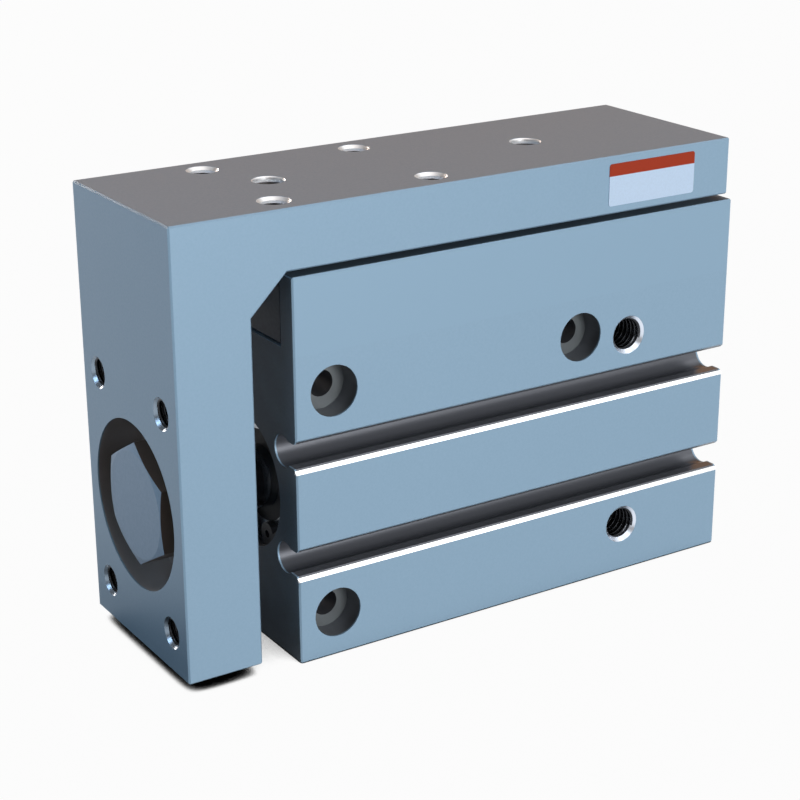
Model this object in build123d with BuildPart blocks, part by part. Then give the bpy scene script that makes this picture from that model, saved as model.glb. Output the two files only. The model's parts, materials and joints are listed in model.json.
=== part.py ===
"""Compact pneumatic slide table: an L-shaped table on a miniature linear guide over a cylinder body.

Frame: +X runs from the end plate to the rear, +Z is up, the side with the air ports faces -Y. The origin
is at the middle of the base, under the middle of the whole length. The table is drawn retracted.
"""

import os
from math import radians, tan

from build123d import *

os.makedirs("parts", exist_ok=True)

# Travel and outer form
stroke = 20.0
body_width = 26.2
body_height = 49.7
edge_break = 0.2
plate_thickness = 7.5
end_plate_thickness = 10.0
running_gap = 0.8
front_gap = 5.3
rear_step = 0.8
base_gap = 1.5
gusset = 4.8
side_relief = 0.1

# Cylinder bore and its closures
axis_height = 20.3
bore_diameter = 16.0
cover_seat_diameter = 17.6
ring_land = 1.2
ring_thickness = 1.0
ring_groove_depth = 0.4
ring_section = 1.5
ring_gap = 3.0
ring_lug_radius = 1.5
ring_lug_spread = 44
rod_cover_length = 12.5
head_cover_length = 7.0
o_ring_section = 1.2
o_ring_setback = 4.2
o_ring_flats = 8

# Piston and rod
rod_diameter = 8.0
spigot_diameter = 5.0
piston_front_length = 7.0
magnet_length = 5.0
magnet_diameter = 14.2
piston_rear_length = 7.5
bumper_thickness = 1.5
bumper_diameter = 13.0
piston_seal_width = 3.0
piston_seal_depth = 2.2
wear_ring_width = 3.5
wear_ring_depth = 0.8
rivet_head_diameter = 6.6
rivet_head_height = 1.2
bush_length = 6.0
bush_wall = 1.0
rod_seal_length = 3.4
rod_seal_wall = 2.0

# Clearances
seat_clearance = 0.02
piston_clearance = 0.05
sliding_clearance = 0.03
stop_clearance = 0.1
ring_play = 0.1

# Floating joint in the end plate
recess_diameter = 21.6
recess_depth = 6.0
hexagon_across_flats = 14.0
hexagon_setback = 0.05
hexagon_flat_share = 0.98
hexagon_bevel_angle = 15
float_hole_diameter = 10.4
float_bush_diameter = 9.6
float_play = 0.1
float_washer_diameter = 13.0
float_washer_thickness = 1.5
joint_thread_diameter = 6.0
joint_engagement = 9.0

# Tapped holes, drawn at their tapping drill with a chamfered mouth
m4_drill = 3.3
m4_mouth = 4.1
m5_drill = 4.2
m5_mouth = 5.2
front_tap_rise = 5.2
front_tap_pitch_y = 17.5
front_tap_pitch_z = 28.1
top_tap_setback = 15.45
top_tap_pitch_x = 21.7
top_tap_pitch_y = 18.0
top_tap_depth = 6.0

# Side mounting holes and air ports
mount_hole_diameter = 3.4
mount_head_diameter = 6.5
mount_head_depth = 3.3
mount_mouth_break = 0.2
mount_setback = 5.4
mount_pitch_x = 36.8
mount_pitch_z = 29.2
port_setback = 16.7
port_offset_z = 13.5
port_depth = 9.5

# Air passages and their plugs
passage_diameter = 2.0
passage_depth_y = 7.5
passage_offset_z = 11.2
feed_diameter = 1.8
plug_diameter = 2.5
plug_length = 2.2

# Sensor grooves
groove_diameter = 4.1
groove_neck = 3.2
groove_mouth_break = 0.6
groove_axis_depth = 3.3
groove_offset_z = 7.05

# Linear guide
guide_height = 10.0
rail_width = 9.0
rail_height = 5.5
rail_toe_clearance = 0.3
rail_overrun = 0.3
rail_screw_end = 4.6
rail_edge_break = 0.3
carriage_width = 20.0
carriage_height = 7.8
carriage_block_length = 20.0
carriage_inset = 0.2
end_cap_thickness = 2.5
end_cap_shrink = 0.2
end_seal_thickness = 0.8
slot_side_clearance = 0.2
slot_floor_clearance = 0.3
seal_lip_clearance = 0.05
channel_side_clearance = 0.1
ball_diameter = 1.5
ball_row_rise = 1.8
balls_per_row = 5
return_channel_diameter = 1.8
return_channel_offset = 7.4

# Guide screws
rail_screw_diameter = 3.0
rail_screw_head_diameter = 5.5
rail_screw_head_height = 3.0
rail_screw_socket = 2.5
rail_screw_socket_depth = 1.3
rail_screw_engagement = 4.0
rail_counterbore_diameter = 6.0
rail_counterbore_depth = 3.5
rail_hole_diameter = 3.5
centre_hole_diameter = 3.9
centre_hole_mouth = 4.2
centre_relief_depth = 3.25
carriage_screw_diameter = 2.5
carriage_screw_head_diameter = 4.7
carriage_screw_engagement = 3.2
carriage_screw_pitch = 9.0
carriage_screw_sink = 0.1
screw_socket = 1.5
screw_socket_depth = 0.9
tap_run_out = 0.5

# Places along X, from the retracted stack of cylinder parts
piston_stack = 2 * bumper_thickness + piston_front_length + magnet_length + piston_rear_length
ring_groove_width = ring_thickness + ring_play
front_seat_depth = ring_land + ring_groove_width + rod_cover_length
rear_seat_depth = ring_land + ring_groove_width + head_cover_length
body_length = front_seat_depth + piston_stack + stroke + 2 * stop_clearance + rear_seat_depth
overall_length = end_plate_thickness + front_gap + body_length
table_front_x = -overall_length / 2
end_plate_back_x = table_front_x + end_plate_thickness
body_front_x = end_plate_back_x + front_gap
body_rear_x = body_front_x + body_length
table_length = overall_length - rear_step
front_shoulder_x = body_front_x + front_seat_depth
rear_shoulder_x = body_rear_x - rear_seat_depth
stack_rear_x = rear_shoulder_x - stop_clearance
piston_rear_x = stack_rear_x - bumper_thickness
magnet_rear_x = piston_rear_x - piston_rear_length
magnet_front_x = magnet_rear_x - magnet_length
piston_front_x = magnet_front_x - piston_front_length
stack_front_x = piston_front_x - bumper_thickness
recess_floor_x = table_front_x + recess_depth
bush_rear_x = end_plate_back_x + float_play
rod_front_x = bush_rear_x + float_washer_thickness
mount_front_x = body_front_x + mount_setback
mount_rear_x = mount_front_x + mount_pitch_x
port_x = body_rear_x - port_setback

# Places across and up
half_width = body_width / 2
table_width = body_width - 2 * side_relief
table_under_z = body_height + running_gap
table_top_z = table_under_z + plate_thickness
channel_floor_z = table_under_z - guide_height
channel_width = carriage_width + 2 * channel_side_clearance
rail_head_z = table_under_z - rail_height
slot_floor_z = rail_head_z - slot_floor_clearance
slot_width = rail_width + 2 * slot_side_clearance
ball_row_y = (rail_width + slot_side_clearance) / 2
ball_row_z = rail_head_z + ball_row_rise
race_radius = ball_diameter / 2 + sliding_clearance
passage_y = passage_depth_y - half_width

# Places along the guide
carriage_length = carriage_block_length + 2 * (end_cap_thickness + end_seal_thickness)
carriage_front_x = body_front_x + carriage_inset
block_front_x = carriage_front_x + end_seal_thickness + end_cap_thickness
block_rear_x = block_front_x + carriage_block_length
block_middle_x = (block_front_x + block_rear_x) / 2
rail_length = carriage_length + stroke + 2 * rail_overrun
rail_front_x = end_plate_back_x + gusset + rail_toe_clearance
rail_middle_x = rail_front_x + rail_length / 2
rail_screw_pitch = rail_length - 2 * rail_screw_end
carriage_screw_places = [
    (block_middle_x - carriage_screw_pitch / 2, 0),
    (block_middle_x + carriage_screw_pitch / 2, 0),
]

cylinder_axis = Axis((0, 0, axis_height), (1, 0, 0))
axial_plane = Plane(origin=(0, 0, axis_height), x_dir=(1, 0, 0), z_dir=(0, -1, 0))
port_side = Plane(origin=(0, -half_width, 0), x_dir=(1, 0, 0), z_dir=(0, -1, 0))
wall_side = Plane(origin=(0, half_width, 0), x_dir=(-1, 0, 0), z_dir=(0, 1, 0))
end_plate_front = Plane(origin=(table_front_x, 0, 0), x_dir=(0, -1, 0), z_dir=(-1, 0, 0))


def turn(outline, mode=Mode.ADD):
    """Revolve a closed outline of (x, radius) points about the cylinder's axis."""
    with BuildSketch(axial_plane) as section:
        with BuildLine():
            Polyline(*outline, close=True)
        make_face()
    revolve(section.sketch, axis=cylinder_axis, mode=mode)


def sleeve(front_x, rear_x, inner_diameter, outer_diameter, bevel=0.0):
    """Outline of a plain ring with bevelled outer ends."""
    inner, outer = inner_diameter / 2, outer_diameter / 2
    if bevel == 0:
        return [(front_x, inner), (front_x, outer), (rear_x, outer), (rear_x, inner)]
    return [
        (front_x, inner),
        (front_x, outer - bevel),
        (front_x + bevel, outer),
        (rear_x - bevel, outer),
        (rear_x, outer - bevel),
        (rear_x, inner),
    ]


def cross_section(x):
    """Plane square to the travel at x, with its own axes along Y and Z."""
    return Plane(origin=(x, 0, 0), x_dir=(0, 1, 0), z_dir=(1, 0, 0))


def tapped_hole(drill, mouth, depth):
    """Blind tapped hole at its tapping drill, with a 45 degree mouth."""
    CounterSinkHole(drill / 2, mouth / 2, depth, counter_sink_angle=90)


# Body: one machined block, drawn as a bar with its channel and grooves, then bored and drilled
with BuildPart() as body:
    with BuildSketch(cross_section(body_front_x)):
        Rectangle(body_width, body_height, align=(Align.CENTER, Align.MIN))
    extrude(amount=body_length)
    chamfer(body.edges(), edge_break)

    with BuildSketch(cross_section(body_front_x)):
        with Locations((0, channel_floor_z)):
            Rectangle(channel_width, guide_height, align=(Align.CENTER, Align.MIN))
        for side in (-1, 1):
            groove_z = axis_height + side * groove_offset_z
            with Locations((groove_axis_depth - half_width, groove_z)):
                Circle(groove_diameter / 2)
            with BuildLine():
                Polyline(
                    (-half_width, groove_z + groove_neck / 2 + groove_mouth_break),
                    (-half_width + groove_mouth_break, groove_z + groove_neck / 2),
                    (-half_width + groove_axis_depth, groove_z + groove_neck / 2),
                    (-half_width + groove_axis_depth, groove_z - groove_neck / 2),
                    (-half_width + groove_mouth_break, groove_z - groove_neck / 2),
                    (-half_width, groove_z - groove_neck / 2 - groove_mouth_break),
                    close=True,
                )
            make_face()
    extrude(amount=body_length, mode=Mode.SUBTRACT)

    seat_radius = cover_seat_diameter / 2
    ring_groove_radius = seat_radius + ring_groove_depth
    turn(
        [
            (body_front_x, 0),
            (body_front_x, seat_radius),
            (body_front_x + ring_land, seat_radius),
            (body_front_x + ring_land, ring_groove_radius),
            (body_front_x + ring_land + ring_groove_width, ring_groove_radius),
            (body_front_x + ring_land + ring_groove_width, seat_radius),
            (front_shoulder_x, seat_radius),
            (front_shoulder_x, bore_diameter / 2),
            (rear_shoulder_x, bore_diameter / 2),
            (rear_shoulder_x, seat_radius),
            (body_rear_x - ring_land - ring_groove_width, seat_radius),
            (body_rear_x - ring_land - ring_groove_width, ring_groove_radius),
            (body_rear_x - ring_land, ring_groove_radius),
            (body_rear_x - ring_land, seat_radius),
            (body_rear_x, seat_radius),
            (body_rear_x, 0),
        ],
        mode=Mode.SUBTRACT,
    )

    mount_top_z = axis_height + mount_pitch_z / 2
    mount_low_z = axis_height - mount_pitch_z / 2
    mount_places = [(mount_front_x, mount_top_z), (mount_front_x, mount_low_z), (mount_rear_x, mount_top_z)]
    with Locations(port_side):
        with Locations(*mount_places):
            CounterBoreHole(mount_hole_diameter / 2, mount_head_diameter / 2, mount_head_depth)
        with Locations((port_x, axis_height + port_offset_z), (port_x, axis_height - port_offset_z)):
            tapped_hole(m5_drill, m5_mouth, port_depth)
    with Locations(wall_side):
        with Locations(*[(-x, z) for x, z in mount_places]):
            CounterSinkHole(
                mount_hole_diameter / 2,
                mount_hole_diameter / 2 + mount_mouth_break,
                mount_head_depth,
                counter_sink_angle=90,
            )

    # Axial air passages, drilled in from the rear: the upper feeds the rod side, the lower the head side
    rod_feed_x = front_shoulder_x + stop_clearance + feed_diameter / 2
    head_feed_x = rear_shoulder_x - stop_clearance - feed_diameter / 2
    for side, passage_end_x in ((1, rod_feed_x), (-1, port_x)):
        with BuildSketch(cross_section(body_rear_x)):
            with Locations((passage_y, axis_height + side * passage_offset_z)):
                Circle(passage_diameter / 2)
        extrude(amount=passage_end_x - body_rear_x, mode=Mode.SUBTRACT)
        with BuildSketch(cross_section(body_rear_x)):
            with Locations((passage_y, axis_height + side * passage_offset_z)):
                Circle(plug_diameter / 2)
        extrude(amount=-plug_length, mode=Mode.SUBTRACT)

    # Cross drillings from the channel floor and from the base into the bore's ends
    with Locations(Plane.XY.offset(channel_floor_z)):
        with Locations((rod_feed_x, passage_y)):
            CounterBoreHole(feed_diameter / 2, plug_diameter / 2, plug_length, channel_floor_z - axis_height)
        with Locations(*carriage_screw_places):
            Hole(carriage_screw_diameter / 2 + seat_clearance, carriage_screw_engagement + tap_run_out)
    with Locations(-Plane.XY):
        with Locations((head_feed_x, -passage_y)):
            CounterBoreHole(feed_diameter / 2, plug_diameter / 2, plug_length, axis_height)
body.part.label = "body"
export_step(body.part, "parts/body.step")

# Plugs of the four drillings
with BuildPart() as air_passage_plugs:
    for side in (1, -1):
        with BuildSketch(cross_section(body_rear_x)):
            with Locations((passage_y, axis_height + side * passage_offset_z)):
                Circle(plug_diameter / 2 - seat_clearance)
        extrude(amount=-plug_length)
    with BuildSketch(Plane.XY.offset(channel_floor_z)):
        with Locations((rod_feed_x, passage_y)):
            Circle(plug_diameter / 2 - seat_clearance)
    extrude(amount=-plug_length)
    with BuildSketch(Plane.XY):
        with Locations((head_feed_x, passage_y)):
            Circle(plug_diameter / 2 - seat_clearance)
    extrude(amount=plug_length)
air_passage_plugs.part.label = "air_passage_plugs"
export_step(air_passage_plugs.part, "parts/air_passage_plugs.step")

# Rod cover: front bush and seal carrier
rod_cover_front_x = front_shoulder_x - rod_cover_length
cover_radius = cover_seat_diameter / 2 - seat_clearance
o_ring_floor = cover_radius - o_ring_section
o_ring_groove_width = o_ring_section + 2 * ring_play
bush_seat_radius = rod_diameter / 2 + sliding_clearance + bush_wall
rod_seal_seat_radius = rod_diameter / 2 + sliding_clearance + rod_seal_wall
rod_passage_radius = rod_diameter / 2 + 2 * stop_clearance
rod_seal_floor_x = rod_cover_front_x + rod_seal_length + ring_play
bush_floor_x = front_shoulder_x - bush_length
rod_o_ring_x = front_shoulder_x - o_ring_setback
with BuildPart() as rod_cover:
    turn(
        [
            (rod_cover_front_x, rod_seal_seat_radius),
            (rod_cover_front_x, cover_radius - edge_break),
            (rod_cover_front_x + edge_break, cover_radius),
            (rod_o_ring_x - o_ring_groove_width / 2, cover_radius),
            (rod_o_ring_x - o_ring_groove_width / 2, o_ring_floor),
            (rod_o_ring_x + o_ring_groove_width / 2, o_ring_floor),
            (rod_o_ring_x + o_ring_groove_width / 2, cover_radius),
            (front_shoulder_x - edge_break, cover_radius),
            (front_shoulder_x, cover_radius - edge_break),
            (front_shoulder_x, bush_seat_radius),
            (bush_floor_x, bush_seat_radius),
            (bush_floor_x, rod_passage_radius),
            (rod_seal_floor_x, rod_passage_radius),
            (rod_seal_floor_x, rod_seal_seat_radius),
        ]
    )
rod_cover.part.label = "rod_cover"
export_step(rod_cover.part, "parts/rod_cover.step")

with BuildPart() as rod_bush:
    turn(
        sleeve(
            bush_floor_x,
            front_shoulder_x,
            rod_diameter + 2 * sliding_clearance,
            2 * (bush_seat_radius - seat_clearance),
        )
    )
rod_bush.part.label = "rod_bush"
export_step(rod_bush.part, "parts/rod_bush.step")

# Rod seal: a lip ring that opens towards the pressure side
rod_seal_inner = rod_diameter / 2 + sliding_clearance
rod_seal_outer = rod_seal_seat_radius - seat_clearance
rod_seal_middle = (rod_seal_inner + rod_seal_outer) / 2
with BuildPart() as rod_seal:
    turn(
        [
            (rod_seal_floor_x - rod_seal_length, rod_seal_inner),
            (rod_seal_floor_x - rod_seal_length, rod_seal_outer),
            (rod_seal_floor_x, rod_seal_outer),
            (rod_seal_floor_x - rod_seal_length / 2, rod_seal_middle),
            (rod_seal_floor_x, rod_seal_inner),
        ]
    )
rod_seal.part.label = "rod_seal"
export_step(rod_seal.part, "parts/rod_seal.step")

# Head cover: closes the bore at the rear, with a turned relief in its outer face
head_cover_rear_x = rear_shoulder_x + head_cover_length
head_relief_radius = cover_radius - 2 * ring_section
head_relief_depth = head_cover_length - o_ring_setback
head_o_ring_x = rear_shoulder_x + o_ring_setback / 2
with BuildPart() as head_cover:
    turn(
        [
            (rear_shoulder_x, 0),
            (rear_shoulder_x, cover_radius - edge_break),
            (rear_shoulder_x + edge_break, cover_radius),
            (head_o_ring_x - o_ring_groove_width / 2, cover_radius),
            (head_o_ring_x - o_ring_groove_width / 2, o_ring_floor),
            (head_o_ring_x + o_ring_groove_width / 2, o_ring_floor),
            (head_o_ring_x + o_ring_groove_width / 2, cover_radius),
            (head_cover_rear_x - edge_break, cover_radius),
            (head_cover_rear_x, cover_radius - edge_break),
            (head_cover_rear_x, head_relief_radius),
            (head_cover_rear_x - head_relief_depth, head_relief_radius - edge_break),
            (head_cover_rear_x - head_relief_depth, 0),
        ]
    )
head_cover.part.label = "head_cover"
export_step(head_cover.part, "parts/head_cover.step")


def o_ring(x):
    """O-ring at x in a cover's groove, with flats on the groove's floor and on the bore."""
    section_radius = (o_ring_section - seat_clearance) / 2
    with BuildSketch(axial_plane) as section:
        with Locations((x, cover_radius - o_ring_section / 2)):
            RegularPolygon(section_radius, o_ring_flats, major_radius=False, rotation=180 / o_ring_flats)
    revolve(section.sketch, axis=cylinder_axis)


with BuildPart() as rod_cover_o_ring:
    o_ring(rod_o_ring_x)
rod_cover_o_ring.part.label = "rod_cover_o_ring"
export_step(rod_cover_o_ring.part, "parts/rod_cover_o_ring.step")

with BuildPart() as head_cover_o_ring:
    o_ring(head_o_ring_x)
head_cover_o_ring.part.label = "head_cover_o_ring"
export_step(head_cover_o_ring.part, "parts/head_cover_o_ring.step")


def retaining_ring(x):
    """Internal circlip from x rearwards: an open ring with two eyed lugs at its lower gap."""
    ring_outer = ring_groove_radius - ring_play / 2
    ring_inner = ring_outer - ring_section
    eye_radius = ring_lug_radius / 3
    lug_centre = ring_inner - eye_radius / 2
    lug_start = -90 - ring_lug_spread / 2
    with BuildSketch(cross_section(x)) as outline:
        with Locations((0, axis_height)):
            Circle(ring_outer)
            Circle(ring_inner, mode=Mode.SUBTRACT)
        with Locations((0, axis_height - ring_outer)):
            Rectangle(ring_gap, 3 * ring_section, mode=Mode.SUBTRACT)
        with Locations((0, axis_height)):
            with PolarLocations(lug_centre, 2, lug_start, ring_lug_spread, endpoint=True):
                Circle(ring_lug_radius)
                Circle(eye_radius, mode=Mode.SUBTRACT)
    extrude(outline.sketch, amount=ring_thickness)


with BuildPart() as rod_retaining_ring:
    retaining_ring(rod_cover_front_x - ring_thickness)
rod_retaining_ring.part.label = "rod_retaining_ring"
export_step(rod_retaining_ring.part, "parts/rod_retaining_ring.step")

with BuildPart() as head_retaining_ring:
    retaining_ring(head_cover_rear_x)
head_retaining_ring.part.label = "head_retaining_ring"
export_step(head_retaining_ring.part, "parts/head_retaining_ring.step")

# Guide carriage: a U-shaped steel block with two ball races and their return channels
with BuildPart() as guide_carriage:
    with BuildSketch(cross_section(block_front_x)):
        with Locations((0, channel_floor_z)):
            Rectangle(carriage_width, carriage_height, align=(Align.CENTER, Align.MIN))
        with Locations((0, slot_floor_z)):
            Rectangle(slot_width, guide_height, align=(Align.CENTER, Align.MIN), mode=Mode.SUBTRACT)
        with Locations((-ball_row_y, ball_row_z), (ball_row_y, ball_row_z)):
            Circle(race_radius, mode=Mode.SUBTRACT)
        with Locations((-return_channel_offset, ball_row_z), (return_channel_offset, ball_row_z)):
            Circle(return_channel_diameter / 2, mode=Mode.SUBTRACT)
    extrude(amount=carriage_block_length)
    with Locations(Plane.XY.offset(slot_floor_z - carriage_screw_sink)):
        with Locations(*carriage_screw_places):
            CounterSinkHole(
                carriage_screw_diameter / 2 + stop_clearance,
                carriage_screw_head_diameter / 2 + seat_clearance,
                counter_sink_angle=90,
            )
guide_carriage.part.label = "guide_carriage"
export_step(guide_carriage.part, "parts/guide_carriage.step")


def guide_end(front_x, thickness, shrink, side_gap):
    """Plate at an end of the carriage, with the carriage's own U outline."""
    with BuildSketch(cross_section(front_x)) as outline:
        with Locations((0, channel_floor_z + shrink)):
            Rectangle(
                carriage_width - 2 * shrink,
                carriage_height - 2 * shrink,
                align=(Align.CENTER, Align.MIN),
            )
        with Locations((0, rail_head_z - side_gap)):
            Rectangle(
                rail_width + 2 * side_gap,
                guide_height,
                align=(Align.CENTER, Align.MIN),
                mode=Mode.SUBTRACT,
            )
    extrude(outline.sketch, amount=thickness)


with BuildPart() as carriage_end_caps:
    for cap_x in (block_front_x - end_cap_thickness, block_rear_x):
        guide_end(cap_x, end_cap_thickness, end_cap_shrink, slot_side_clearance)
carriage_end_caps.part.label = "carriage_end_caps"
export_step(carriage_end_caps.part, "parts/carriage_end_caps.step")

with BuildPart() as carriage_end_seals:
    for seal_x in (carriage_front_x, block_rear_x + end_cap_thickness):
        guide_end(seal_x, end_seal_thickness, 2 * end_cap_shrink, seal_lip_clearance)
carriage_end_seals.part.label = "carriage_end_seals"
export_step(carriage_end_seals.part, "parts/carriage_end_seals.step")

# Countersunk screws that hold the carriage down in the channel
with BuildPart() as carriage_screws:
    head_top_z = slot_floor_z - carriage_screw_sink
    head_height = (carriage_screw_head_diameter - carriage_screw_diameter) / 2
    shank_end_z = channel_floor_z - carriage_screw_engagement
    with Locations(*[(x, y, head_top_z) for x, y in carriage_screw_places]):
        Cone(
            carriage_screw_diameter / 2,
            carriage_screw_head_diameter / 2,
            head_height,
            align=(Align.CENTER, Align.CENTER, Align.MAX),
        )
        Cylinder(
            carriage_screw_diameter / 2,
            head_top_z - shank_end_z,
            align=(Align.CENTER, Align.CENTER, Align.MAX),
        )
    with BuildSketch(Plane.XY.offset(head_top_z)):
        with Locations(*carriage_screw_places):
            RegularPolygon(screw_socket / 2, 6, major_radius=False)
    extrude(amount=-screw_socket_depth, mode=Mode.SUBTRACT)
carriage_screws.part.label = "carriage_screws"
export_step(carriage_screws.part, "parts/carriage_screws.step")

# Balls in the loaded part of both races
with BuildPart() as guide_balls:
    ball_pitch = (carriage_block_length - 2 * ball_diameter) / (balls_per_row - 1)
    for side in (-1, 1):
        with Locations((block_middle_x, side * ball_row_y, ball_row_z)):
            with GridLocations(ball_pitch, 0, balls_per_row, 1):
                Sphere(ball_diameter / 2)
guide_balls.part.label = "guide_balls"
export_step(guide_balls.part, "parts/guide_balls.step")

# Guide rail, head downwards under the table
with BuildPart() as guide_rail:
    with BuildSketch(cross_section(rail_front_x)):
        with Locations((0, rail_head_z)):
            Rectangle(rail_width, rail_height, align=(Align.CENTER, Align.MIN))
        with Locations((-ball_row_y, ball_row_z), (ball_row_y, ball_row_z)):
            Circle(race_radius, mode=Mode.SUBTRACT)
    extrude(amount=rail_length)
    chamfer(guide_rail.edges().filter_by(Axis.X).group_by(Axis.Z)[0], rail_edge_break)
    with Locations(-Plane.XY.offset(rail_head_z)):
        with Locations((rail_middle_x, 0)):
            with GridLocations(rail_screw_pitch, 0, 2, 1):
                CounterBoreHole(
                    rail_hole_diameter / 2, rail_counterbore_diameter / 2, rail_counterbore_depth
                )
guide_rail.part.label = "guide_rail"
export_step(guide_rail.part, "parts/guide_rail.step")

# Socket screws of the rail, put in from below
with BuildPart() as rail_screws:
    head_seat_z = rail_head_z + rail_counterbore_depth
    shank_length = rail_height - rail_counterbore_depth + rail_screw_engagement
    with Locations((rail_middle_x, 0, head_seat_z)):
        with GridLocations(rail_screw_pitch, 0, 2, 1):
            Cylinder(
                rail_screw_head_diameter / 2,
                rail_screw_head_height,
                align=(Align.CENTER, Align.CENTER, Align.MAX),
            )
            Cylinder(
                rail_screw_diameter / 2,
                shank_length,
                align=(Align.CENTER, Align.CENTER, Align.MIN),
            )
    chamfer(rail_screws.edges().filter_by(GeomType.CIRCLE).group_by(Axis.Z)[0], edge_break)
    with BuildSketch(Plane.XY.offset(head_seat_z - rail_screw_head_height)):
        with Locations((rail_middle_x, 0)):
            with GridLocations(rail_screw_pitch, 0, 2, 1):
                RegularPolygon(rail_screw_socket / 2, 6, major_radius=False)
    extrude(amount=rail_screw_socket_depth, mode=Mode.SUBTRACT)
rail_screws.part.label = "rail_screws"
export_step(rail_screws.part, "parts/rail_screws.step")

# Table: top plate and end plate in one piece, with a 45 degree gusset in the inner corner
with BuildPart() as table:
    with BuildSketch(Plane.XZ):
        with BuildLine():
            Polyline(
                (table_front_x, base_gap),
                (table_front_x, table_top_z),
                (table_front_x + table_length, table_top_z),
                (table_front_x + table_length, table_under_z),
                (end_plate_back_x + gusset, table_under_z),
                (end_plate_back_x, table_under_z - gusset),
                (end_plate_back_x, base_gap),
                close=True,
            )
        make_face()
    extrude(amount=table_width / 2, both=True)
    across = table.edges().filter_by(Axis.Y)
    inner_corner = across.sort_by_distance((end_plate_back_x + gusset / 2, 0, table_under_z - gusset / 2))[:2]
    outline_edges = [e for e in table.edges() if e not in inner_corner]
    chamfer(outline_edges, edge_break)

    # Recess and float hole for the rod joint, and the four tapped holes of the end plate
    with Locations(end_plate_front):
        with Locations((0, axis_height)):
            CounterBoreHole(float_hole_diameter / 2, recess_diameter / 2, recess_depth, end_plate_thickness)
        with Locations((0, base_gap + front_tap_rise + front_tap_pitch_z / 2)):
            with GridLocations(front_tap_pitch_y, front_tap_pitch_z, 2, 2):
                tapped_hole(m4_drill, m4_mouth, end_plate_thickness)

    # Tapped holes of the top plate, and the rail screws' holes, relieved from above
    with Locations(Plane.XY.offset(table_top_z)):
        with Locations((table_front_x + top_tap_setback + top_tap_pitch_x / 2, 0)):
            with GridLocations(top_tap_pitch_x, top_tap_pitch_y, 2, 2):
                tapped_hole(m4_drill, m4_mouth, top_tap_depth)
        with Locations((rail_middle_x, 0)):
            with GridLocations(rail_screw_pitch, 0, 2, 1):
                Hole(rail_screw_diameter / 2 + seat_clearance, plate_thickness)
                tapped_hole(centre_hole_diameter, centre_hole_mouth, centre_relief_depth)
table.part.label = "table"
export_step(table.part, "parts/table.step")

# Piston rod with its riveted spigot and the joint's tapped end
spigot_radius = spigot_diameter / 2
rivet_radius = rivet_head_diameter / 2
thread_hole_radius = joint_thread_diameter / 2 + seat_clearance
with BuildPart() as piston_rod:
    turn(
        [
            (rod_front_x, thread_hole_radius),
            (rod_front_x, rod_diameter / 2 - edge_break),
            (rod_front_x + edge_break, rod_diameter / 2),
            (piston_front_x, rod_diameter / 2),
            (piston_front_x, spigot_radius),
            (piston_rear_x - rivet_head_height, spigot_radius),
            (piston_rear_x - rivet_head_height, rivet_radius),
            (piston_rear_x, rivet_radius - edge_break),
            (piston_rear_x, 0),
            (rod_front_x + joint_engagement + tap_run_out, 0),
            (rod_front_x + joint_engagement + tap_run_out, thread_hole_radius),
        ]
    )
piston_rod.part.label = "piston_rod"
export_step(piston_rod.part, "parts/piston_rod.step")

# Piston halves either side of the magnet
piston_radius = bore_diameter / 2 - piston_clearance
piston_bore_radius = spigot_radius + seat_clearance
seal_floor_radius = bore_diameter / 2 - piston_seal_depth
seal_groove_rear_x = magnet_front_x - (piston_front_length - piston_seal_width) / 2
seal_groove_front_x = seal_groove_rear_x - piston_seal_width - ring_play
with BuildPart() as piston_front:
    turn(
        [
            (piston_front_x, piston_bore_radius),
            (piston_front_x, piston_radius - edge_break),
            (piston_front_x + edge_break, piston_radius),
            (seal_groove_front_x, piston_radius),
            (seal_groove_front_x, seal_floor_radius),
            (seal_groove_rear_x, seal_floor_radius),
            (seal_groove_rear_x, piston_radius),
            (magnet_front_x, piston_radius),
            (magnet_front_x, piston_bore_radius),
        ]
    )
piston_front.part.label = "piston_front"
export_step(piston_front.part, "parts/piston_front.step")

with BuildPart() as piston_magnet:
    turn(sleeve(magnet_front_x, magnet_rear_x, 2 * piston_bore_radius, magnet_diameter, edge_break))
piston_magnet.part.label = "piston_magnet"
export_step(piston_magnet.part, "parts/piston_magnet.step")

wear_floor_radius = bore_diameter / 2 - wear_ring_depth
wear_groove_rear_x = piston_rear_x - (piston_rear_length - wear_ring_width) / 2
wear_groove_front_x = wear_groove_rear_x - wear_ring_width - ring_play
rivet_seat_x = piston_rear_x - rivet_head_height
with BuildPart() as piston_rear:
    turn(
        [
            (magnet_rear_x, piston_bore_radius),
            (magnet_rear_x, piston_radius),
            (wear_groove_front_x, piston_radius),
            (wear_groove_front_x, wear_floor_radius),
            (wear_groove_rear_x, wear_floor_radius),
            (wear_groove_rear_x, piston_radius),
            (piston_rear_x - edge_break, piston_radius),
            (piston_rear_x, piston_radius - edge_break),
            (piston_rear_x, rivet_radius + seat_clearance),
            (rivet_seat_x, rivet_radius + seat_clearance),
            (rivet_seat_x, piston_bore_radius),
        ]
    )
piston_rear.part.label = "piston_rear"
export_step(piston_rear.part, "parts/piston_rear.step")

# Piston seal: a double lip ring
seal_outer_radius = bore_diameter / 2 - sliding_clearance
seal_inner_radius = seal_floor_radius + seat_clearance
seal_front_x = seal_groove_front_x + ring_play / 2
seal_rear_x = seal_front_x + piston_seal_width
seal_waist_radius = (seal_outer_radius + seal_inner_radius) / 2
with BuildPart() as piston_seal:
    turn(
        [
            (seal_front_x, seal_inner_radius),
            (seal_front_x, seal_outer_radius),
            (seal_front_x + piston_seal_width / 4, seal_outer_radius),
            (seal_front_x + piston_seal_width / 2, seal_waist_radius),
            (seal_rear_x - piston_seal_width / 4, seal_outer_radius),
            (seal_rear_x, seal_outer_radius),
            (seal_rear_x, seal_inner_radius),
        ]
    )
piston_seal.part.label = "piston_seal"
export_step(piston_seal.part, "parts/piston_seal.step")

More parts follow.
